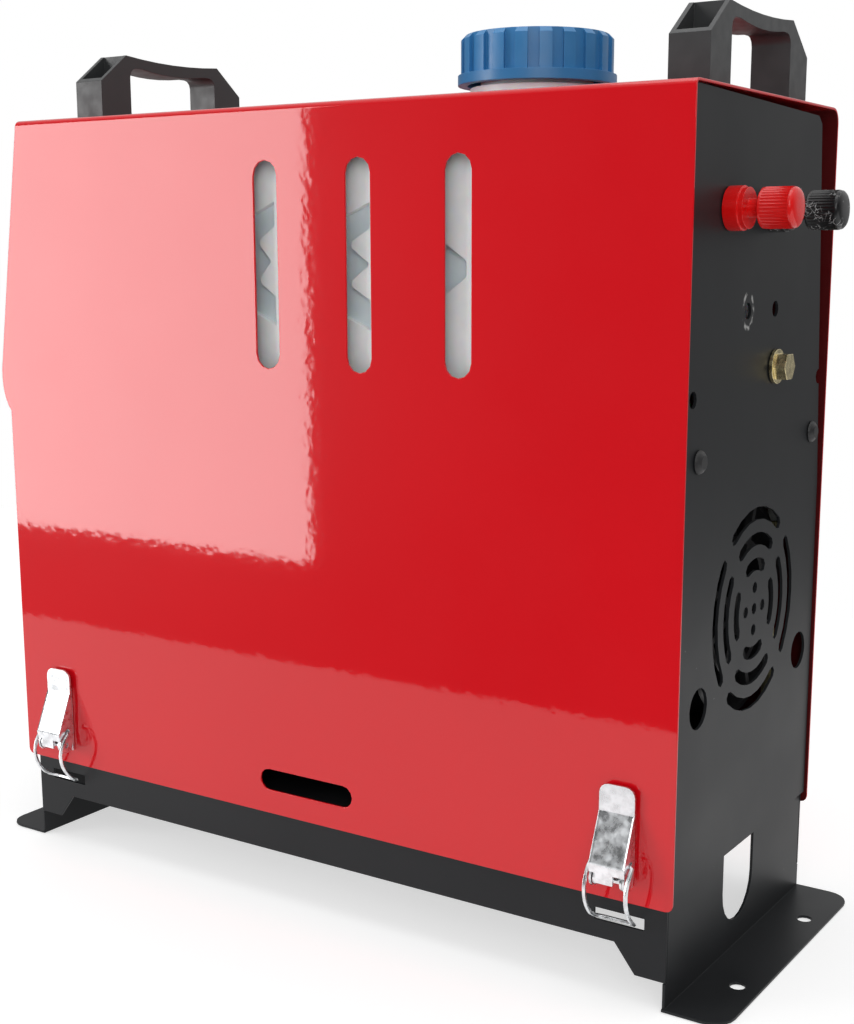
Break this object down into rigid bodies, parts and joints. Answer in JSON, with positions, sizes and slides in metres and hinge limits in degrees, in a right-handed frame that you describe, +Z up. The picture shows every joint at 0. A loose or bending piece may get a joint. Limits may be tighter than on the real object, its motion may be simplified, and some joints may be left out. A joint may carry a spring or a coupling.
{
  "type": "diesel air heater",
  "caption": "Portable diesel air heater: red latched steel cover over a black case with folded feet, carrying handles, tank with screw cap, battery terminals, air grille and duct outlet.",
  "frame": {"origin": "on the floor under the middle of the overall box", "axes": "+X towards the end with the battery terminals and the air grille, -Y towards the front with the sight slots, +Z up"},
  "size_m": [0.4046, 0.17, 0.3785],
  "materials": {
    "red_enamel": "gloss",
    "handle_plastic": "satin",
    "bright_zinc": "bright",
    "black_powder": "satin",
    "tank_plastic": "satin",
    "black_plastic": "satin",
    "screen_glass": "gloss",
    "blue_plastic": "satin",
    "rubber": "matte",
    "cast_aluminium": "matte",
    "steel": "satin",
    "board_green": "satin",
    "filter_plastic": "gloss",
    "fuel_hose": "satin",
    "red_plastic": "gloss",
    "black_gloss": "gloss",
    "yellow_zinc": "bright"
  },
  "bodies": {
    "case": {"base_tray": "black_powder", "foot_bracket_right": "black_powder", "foot_bracket_left": "black_powder", "end_panel_right": "black_powder", "end_panel_left": "black_powder", "tank_shelf": "black_powder", "fuel_tank": "tank_plastic", "filler_neck": "tank_plastic", "controller_case": "black_plastic", "heater_lower_casing": "black_plastic", "heater_upper_casing": "black_plastic", "blower_housing": "black_plastic", "inlet_guard": "black_plastic", "outlet_ring": "black_plastic", "panel_plug_front": "black_plastic", "panel_plug_back": "black_plastic", "controller_screen": "screen_glass", "pump_mount": "rubber", "power_lead": "rubber", "control_harness": "rubber", "heat_exchanger": "cast_aluminium", "combustion_air_stub": "cast_aluminium", "burner_tube": "steel", "glow_plug": "steel", "blower_motor": "steel", "exhaust_stub": "steel", "dosing_pump": "steel", "control_board": "board_green", "fuel_filter": "filter_plastic", "fuel_line_tank": "fuel_hose", "fuel_line_pump": "fuel_hose", "fuel_line_heater": "fuel_hose", "terminal_post_red": "red_plastic", "terminal_post_black": "black_gloss", "panel_bolt": "yellow_zinc"},
    "cover": {"cover_shell": "red_enamel", "handle_left": "handle_plastic", "handle_right": "handle_plastic", "latch_base_front_left": "bright_zinc", "latch_base_front_right": "bright_zinc", "latch_base_back_left": "bright_zinc", "latch_base_back_right": "bright_zinc"},
    "lever_front_left": {"latch_lever_front_left": "bright_zinc"},
    "bail_front_left": {"latch_bail_front_left": "bright_zinc"},
    "lever_front_right": {"latch_lever_front_right": "bright_zinc"},
    "bail_front_right": {"latch_bail_front_right": "bright_zinc"},
    "lever_back_left": {"latch_lever_back_left": "bright_zinc"},
    "bail_back_left": {"latch_bail_back_left": "bright_zinc"},
    "lever_back_right": {"latch_lever_back_right": "bright_zinc"},
    "bail_back_right": {"latch_bail_back_right": "bright_zinc"},
    "cap_liner": {"cap_gasket": "rubber"},
    "cap": {"fuel_cap": "blue_plastic"},
    "blower": {"combustion_rotor": "cast_aluminium", "hot_air_fan": "black_plastic"},
    "knob_red": {"terminal_knob_red": "red_plastic"},
    "knob_black": {"terminal_knob_black": "black_gloss"},
    "power_key": {"power_button": "handle_plastic"},
    "set_key": {"set_button": "handle_plastic"},
    "up_key": {"up_button": "handle_plastic"},
    "down_key": {"down_button": "handle_plastic"}
  },
  "joints": [
    {"name": "cover_lift", "type": "slide", "parent": "case", "child": "cover", "axis": [0, 0, 1], "range_m": [0, 0.34]},
    {"name": "lever_front_left", "type": "hinge", "parent": "cover", "child": "lever_front_left", "pos_m": [-0.1515, -0.079, 0.053], "axis": [1, 0, 0], "range_deg": [0, 135]},
    {"name": "bail_front_left", "type": "hinge", "parent": "lever_front_left", "child": "bail_front_left", "pos_m": [-0.1515, -0.078, 0.0595], "axis": [1, 0, 0], "range_deg": [-135, 0]},
    {"name": "lever_front_right", "type": "hinge", "parent": "cover", "child": "lever_front_right", "pos_m": [0.1515, -0.079, 0.053], "axis": [1, 0, 0], "range_deg": [0, 135]},
    {"name": "bail_front_right", "type": "hinge", "parent": "lever_front_right", "child": "bail_front_right", "pos_m": [0.1515, -0.078, 0.0595], "axis": [1, 0, 0], "range_deg": [-135, 0]},
    {"name": "lever_back_left", "type": "hinge", "parent": "cover", "child": "lever_back_left", "pos_m": [-0.1515, 0.079, 0.053], "axis": [-1, 0, 0], "range_deg": [0, 135]},
    {"name": "bail_back_left", "type": "hinge", "parent": "lever_back_left", "child": "bail_back_left", "pos_m": [-0.1515, 0.078, 0.0595], "axis": [-1, 0, 0], "range_deg": [-135, 0]},
    {"name": "lever_back_right", "type": "hinge", "parent": "cover", "child": "lever_back_right", "pos_m": [0.1515, 0.079, 0.053], "axis": [-1, 0, 0], "range_deg": [0, 135]},
    {"name": "bail_back_right", "type": "hinge", "parent": "lever_back_right", "child": "bail_back_right", "pos_m": [0.1515, 0.078, 0.0595], "axis": [-1, 0, 0], "range_deg": [-135, 0]},
    {"name": "cap_rise", "type": "slide", "parent": "case", "child": "cap_liner", "axis": [0, 0, 1], "range_m": [0, 0.012]},
    {"name": "cap_turn", "type": "hinge", "parent": "cap_liner", "child": "cap", "pos_m": [0.07, 0, 0.366], "axis": [0, 0, 1], "range_deg": [0, 1080]},
    {"name": "blower_spin", "type": "hinge", "parent": "case", "child": "blower", "pos_m": [0, 0.0015, 0.146], "axis": [1, 0, 0], "continuous": true},
    {"name": "knob_red_turn", "type": "hinge", "parent": "case", "child": "knob_red", "pos_m": [0.19, -0.0376, 0.3042], "axis": [1, 0, 0], "range_deg": [0, 720]},
    {"name": "knob_black_turn", "type": "hinge", "parent": "case", "child": "knob_black", "pos_m": [0.19, 0.0053, 0.3042], "axis": [1, 0, 0], "range_deg": [0, 720]},
    {"name": "power_press", "type": "slide", "parent": "case", "child": "power_key", "axis": [0.988, 0, -0.1547], "range_m": [0, 0.0008], "stiffness_N_per_m": 300, "springref_m": -0.001},
    {"name": "set_press", "type": "slide", "parent": "case", "child": "set_key", "axis": [0.988, 0, -0.1547], "range_m": [0, 0.0008], "stiffness_N_per_m": 300, "springref_m": -0.001},
    {"name": "up_press", "type": "slide", "parent": "case", "child": "up_key", "axis": [0.988, 0, -0.1547], "range_m": [0, 0.0008], "stiffness_N_per_m": 300, "springref_m": -0.001},
    {"name": "down_press", "type": "slide", "parent": "case", "child": "down_key", "axis": [0.988, 0, -0.1547], "range_m": [0, 0.0008], "stiffness_N_per_m": 300, "springref_m": -0.001}
  ],
  "couplings": [
    {"joint": "bail_front_left", "follows": "lever_front_left", "ratio": -1},
    {"joint": "bail_front_right", "follows": "lever_front_right", "ratio": -1},
    {"joint": "bail_back_left", "follows": "lever_back_left", "ratio": -1},
    {"joint": "bail_back_right", "follows": "lever_back_right", "ratio": -1},
    {"joint": "cap_turn", "follows": "cap_rise", "rad_per_m": 1570.8}
  ]
}
